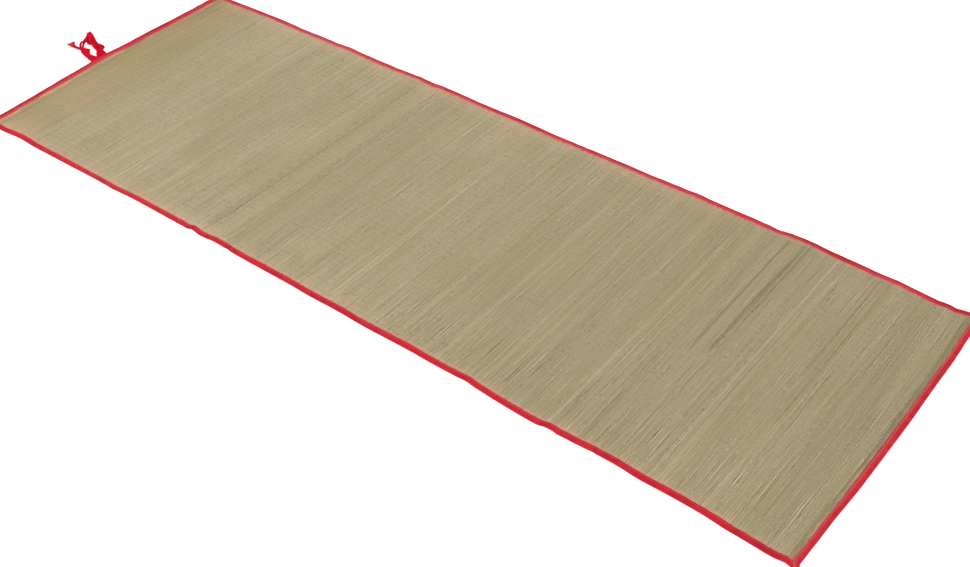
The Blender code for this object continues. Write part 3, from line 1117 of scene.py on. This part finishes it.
# The two tapes: what shows of them, how far they stand proud of the mat's edge, and their looks.
# dust is the wear that they gain towards the tie end, and fade the share that is gone at the end.
for name, side, shows, proud_by, creases, groove_shade, fray, wear, dust, fade in (
    ("near", -1, (NEAR_SHOWS, 10.2), 0.4 * MM, NEAR_CREASES, 0.62, 0.8, 0.05, 0.17, 1.0),
    ("far", 1, (FAR_SHOWS, 10.5), 0.9 * MM, FAR_CREASES, 0.10, 0.6, 0.2, 0.28, 0.5),
):
    edge = far_edge if side > 0 else near_edge
    places = np.linspace(-LONG_TAPE_END, LONG_TAPE_END, round(2 * LONG_TAPE_END / TAPE_PITCH) + 1)

    def to_world(place, inwards, up):
        across = edge(place) + side * (proud_by - inwards)
        lift = ground_lift(place, edge(place)) + LAP_LIFT * under_lap(place)
        return np.stack([straw_x(place, across), across, lift + up], axis=-1)

    beside_tie = falling(places[:, None], -0.66, 0.10)
    dusty = falling(places[:, None], -0.20, 0.30) * (1 - fade * beside_tie)
    deep = 0.08 * rising(places[:, None], 0.35, 0.30) + 0.12 * beside_tie * (side > 0)
    # Painted shade along the stitch line and none on the inner edge; fraying, wear with dust, deeper
    # tone
    looks = dict(groove_shade=groove_shade, rim_shade=0, fray=fray, wear=wear + dust * dusty, deep=deep)
    sewn_to = HALF_LENGTH - TAPE_SHOWS - MM
    bind(
        name,
        np.random.default_rng(40 + side),
        (places, TAPE_HEIGHT + (LAP_HEIGHT - TAPE_HEIGHT) * under_lap(places), to_world),
        shows,
        creases,
        looks,
        (-sewn_to, sewn_to, long_thread),
        2 * LONG_TAPE_END,
        turned=side < 0,
    )


# The binding across the ends
# The same tape over the first and last straws. It is sewn on after the long tapes, laps over them
# at the corners, and its two bare layers stand out past each corner as a short cut tail.
TAPE_TAIL = 7.0 * MM
TAIL_HEIGHT = 1.9 * MM
TAIL_DROP_RUN = 4.0 * MM
TAIL_TURN = 0.66
TAIL_FLARE = 10.5 * MM
CORNER_HEIGHT = 4.9 * MM
CORNER_RUN = 9.0 * MM
END_TAPE_PITCH = 4.0 * MM
CORNER_PLACES = np.array([1.0, 2.0, 3.0, 5.0]) * MM

# What shows of them and their creases, as for the long tapes, at places across the mat
TIE_SHOWS = ((-0.06, 15.0), (0.05, 18.0))
PLAIN_SHOWS = ((0.0, 11.5),)
TIE_CREASES = table(
    CREASE,
    (-240, 6, 0.3, 0.3, 3),
    (-62, 5, 0.4, 0.2, 3),
    (-28, 5, 0.3, 0.2, -3),
    (2, 5, 0.4, 0.2, 3),
    (140, 6, 0.3, 0.2, 3),
)
PLAIN_CREASES = table(
    CREASE,
    (-236, 6, 0.3, 0.2, 3),
    (-118, 6, 0.3, 0.2, -3),
    (32, 6, 0.3, 0.2, 3),
    (196, 6, 0.4, 0.3, 3),
)

for name, side, shows, proud_by, creases, groove_shade, fray, rim_shade, wear in (
    ("tie_end", -1, (TIE_SHOWS, 7.9), 1.4 * MM, TIE_CREASES, 0.60, 0.2, 0.0, -0.1),
    ("plain_end", 1, (PLAIN_SHOWS, 10.8), 0.1 * MM, PLAIN_CREASES, 0.0, 0.1, 0.58, 0.2),
):
    corner = side * HALF_LENGTH
    first = near_edge(corner)
    last = far_edge(corner)
    places = np.unique(np.concatenate([
        np.linspace(first - TAPE_TAIL, last + TAPE_TAIL, round((last - first) / END_TAPE_PITCH)),
        first - CORNER_PLACES,
        first + CORNER_PLACES,
        last - CORNER_PLACES,
        last + CORNER_PLACES,
    ]))
    inside = np.minimum(places - first, last - places)
    at_corner = ease(1 - (inside - TAPE_SHOWS) / CORNER_RUN)
    height = TAPE_HEIGHT + (CORNER_HEIGHT - TAPE_HEIGHT) * at_corner
    height = TAIL_HEIGHT + (height - TAIL_HEIGHT) * ease(1 + inside / TAIL_DROP_RUN)

    def to_world(place, inwards, up):
        past_near = np.maximum(first + TAIL_FLARE - place, 0)
        past_far = np.maximum(place - last + TAIL_FLARE, 0)
        out = HALF_LENGTH + end_out(side, place) + proud_by - inwards
        out = out + TAIL_TURN * (past_near + past_far)
        return np.stack([side * out, place, ground_lift(corner, place) + up], axis=-1)

    deep = (0.05 + 0.09 * rising(places[:, None], -0.03, 0.12)) * (side < 0)
    # Painted shade on the inner edge: none at the corners, and less on the far half
    rim_shade = rim_shade * rising(inside[:, None], 2 * MM, 6 * MM)
    rim_shade = rim_shade * (1 - 0.6 * rising(places[:, None], -0.05, 0.10))
    wear = wear - 0.6 * falling(inside[:, None], 4 * MM, 4 * MM)
    looks = dict(groove_shade=groove_shade, rim_shade=rim_shade, fray=fray, wear=wear, deep=deep)
    bind(
        name,
        np.random.default_rng(50 + side),
        (places, height, to_world),
        shows,
        creases,
        looks,
        (first + MM, last - MM, end_thread),
        float(last - first) + 2 * TAPE_TAIL,
        turned=side > 0,
    )


# The tie
# One crimson tape, softer than the binding, sewn under it near the middle of one end. Its two tails
# lie crumpled as they fell: the upper one stands up in a hood and doubles back in thin folds.
TIE_THICK = 0.7 * MM
TIE_STEPS = 6
TIE_COLUMNS = 9
TIE_DOUBLED = 9.5
TIE_CUP = 0.03
TIE_WRINKLE = 0.20 * MM
TIE_SEWN = 0.014
TIE_FREE_RUN = 0.012
TIE_FLOOR = 0.05 * MM

# The tails in millimetres: out past the mat's end, across the mat, up to the middle of the tape,
# and how wide it is there. turn is the way that its width lies, in degrees from +X, and tip is how
# far that side is raised. low and high are how deep the painted shade is in its folds, at its two
# sides.
FOLD = "out across up width turn tip low high"
UPPER_TAIL = (
    (-7.1, -20.7, 0.9, 24.4, 82, 0, 0.3, 0.3),
    (6.0, -19.5, 1.0, 23.8, 74, 0, 0.3, 0.1),
    (13.6, -17.3, 2.5, 20.0, 72, 2, 0.3, 0.0),
    (18.9, -14.4, 6.5, 14.2, 53, 2, 0.1, 0.1),
    (29.1, -11.8, 9.4, 16.0, 57, 3, 0.1, 0.1),
    (40.7, -9.0, 12.3, 13.4, 73, 7, 0.3, 0.0),
    (51.7, -4.7, 15.5, 13.9, 81, 6, 0.35, 0.0),
    (66.2, 2.1, 18.0, 12.9, 88, 5, 0.35, 0.0),
    (77.9, 7.1, 18.8, 8.0, 97, 0, 0.3, 0.1),
    (74.1, 1.0, 15.0, 8.0, 64, 0, 0.2, 0.7),
    (65.5, -9.6, 11.7, 13.1, 19, -11, 0.2, 0.7),
    (68.8, -14.6, 11.1, 5.6, 13, -2, 0.4, 0.4),
    (70.4, -21.4, 9.6, 6.7, 8, 11, 0.4, 0.4),
    (66.4, -27.2, 5.9, 7.2, 6, 11, 0.4, 0.4),
    (62.4, -29.4, 2.6, 4.9, 8, 10, 0.4, 0.4),
    (62.6, -24.8, 3.4, 6.2, 7, 11, 0.4, 0.4),
    (66.5, -19.1, 7.0, 6.6, 10, 11, 0.4, 0.4),
    (68.9, -9.0, 10.4, 9.9, 72, 2, 0.7, 0.7),
    (62.5, -6.5, 9.0, 12.7, 72, 2, 1.0, 0.8),
    (54.8, -6.1, 7.2, 15.8, 71, 1, 1.0, 0.3),
    (43.0, -1.5, 4.0, 13.0, 80, 0, 0.2, 0.1),
    (33.5, 0.3, 1.7, 13.5, 92, 0, 0.2, 0.1),
    (24.0, -2.0, 0.7, 13.5, 110, 0, 0.2, 0.2),
)
LOWER_TAIL = (
    (-9.0, -37.8, 0.35, 20.0, 90, 0, 0.3, 0.3),
    (4.0, -37.6, 0.35, 21.0, 90, 0, 0.1, 0.4),
    (16.0, -38.6, 0.7, 18.0, 90, 0, 0.1, 0.3),
    (26.5, -39.2, 2.0, 12.9, 90, 3, 0.0, 0.3),
    (34.7, -36.7, 3.8, 15.6, 79, 5, 0.1, 0.6),
    (41.7, -32.9, 5.3, 20.2, 70, 5, 0.1, 0.4),
    (48.8, -32.4, 6.0, 13.5, 70, 6, 0.1, 0.2),
    (55.5, -33.0, 6.2, 9.0, 84, 7, 0.5, 0.4),
    (65.5, -34.8, 5.6, 6.8, 90, 10, 0.5, 0.5),
    (79.3, -34.3, 4.4, 7.4, 96, 16, 0.7, 0.2),
    (89.0, -30.2, 4.0, 16.2, 110, 12, 0.0, 0.0),
    (98.0, -33.2, 2.3, 7.5, 110, 8, 0.0, 0.0),
    (102.0, -35.0, 1.4, 2.6, 112, 0, 0.0, 0.0),
)

# The tie's deep colour is its painted shade, and its wear colour, a lighter pink, its painted
# highlight
tie_finish = woven_tape(
    "crimson_woven_tape",
    bright=(0.560, 0.0003, 0.0175),
    warm=(0.620, 0.0030, 0.0150),
    wear_and_highlight_colour=(0.660, 0.0025, 0.0450),
    deep=(0.300, 0.0002, 0.0060),
    pale=(0.660, 0.0800, 0.0560),
    gloss=0.03,
)

for name, folds, seed, cut in (
    ("upper", UPPER_TAIL, 3, (0.013, 0.213)),
    ("lower", LOWER_TAIL, 4, (0.013, 0.115)),
):
    random = np.random.default_rng(seed)
    rows = table("number " + FOLD, *((k, *fold) for k, fold in enumerate(folds)))
    step = np.linspace(0, len(rows) - 1, (len(rows) - 1) * TIE_STEPS + 1)
    out, sideways, up, width, turn, tip, low, high = (
        on_curve(rows, "number", field, step) for field in FOLD.split()
    )
    turn, tip = np.radians(turn), np.radians(tip)
    middle = np.stack([-HALF_LENGTH - out * MM, sideways * MM, up * MM], axis=-1)
    width_way = np.stack(
        [np.cos(tip) * np.cos(turn), np.cos(tip) * np.sin(turn), np.sin(tip)], axis=-1
    )
    face_way = np.cross(np.gradient(middle, axis=0), width_way)
    face_way = face_way / np.linalg.norm(face_way, axis=1, keepdims=True)
    run = np.concatenate([[0], np.cumsum(np.linalg.norm(np.diff(middle, axis=0), axis=1))])
    across = np.linspace(-1, 1, TIE_COLUMNS)
    free = rising(run[:, None], TIE_SEWN, TIE_FREE_RUN)
    cup = TIE_CUP * MM * width[:, None] * drift(random, run[:, None], 0 * run[:, None], 0.02, 1)
    bend = cup * (across**2 - 0.4) * 2
    bend = bend + TIE_WRINKLE * drift(random, run[:, None], across * 1.5, 0.006, 1)
    bend = bend * free
    centre = (
        middle[:, None]
        + width_way[:, None] * (across * width[:, None] * MM / 2)[..., None]
        + face_way[:, None] * bend[..., None]
    )
    layers = 0.75 + 0.25 * free + 1.1 * falling(width[:, None], TIE_DOUBLED, 4) * free
    half = face_way[:, None] * (TIE_THICK / 2 * layers * (1 - 0.5 * across**6))[..., None]
    rings = np.concatenate([centre + half, (centre - half)[:, ::-1]], axis=1)
    rings[..., 2] = np.maximum(rings[..., 2], TIE_FLOOR)
    around = np.concatenate([across, across[::-1]])
    dent = np.concatenate([bend, bend[:, ::-1]], axis=1)
    # Painted shade from each row's low and high, deeper where the face dips in a wrinkle; painted
    # highlight in the wear colour along the two edges
    deep = low[:, None] * (1 - around) / 2 + high[:, None] * (1 + around) / 2
    cut_end = rising(run[:, None] / run[-1], 0.78, 0.15) * (name == "lower")
    piece = tubes(
        f"tie_tail_{name}",
        rings[None],
        {
            "along_tape": (run[:, None] + 0 * around)[None],
            "across_tape": (around * width[:, None] * MM / 2)[None],
            "wear_and_highlight": (0.5 * abs(around) ** 4 + 0 * run[:, None])[None],
            "frayed": (0.3 * abs(around) ** 8 + 0.6 * cut_end)[None],
            "deep_tone_and_painted_shade": np.clip(0.8 * deep - dent / (1.0 * MM), 0, 1)[None],
        },
        tie_finish,
        parts=2,
    )
    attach(piece, "root")
    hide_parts(f"tie_{name}_tail")
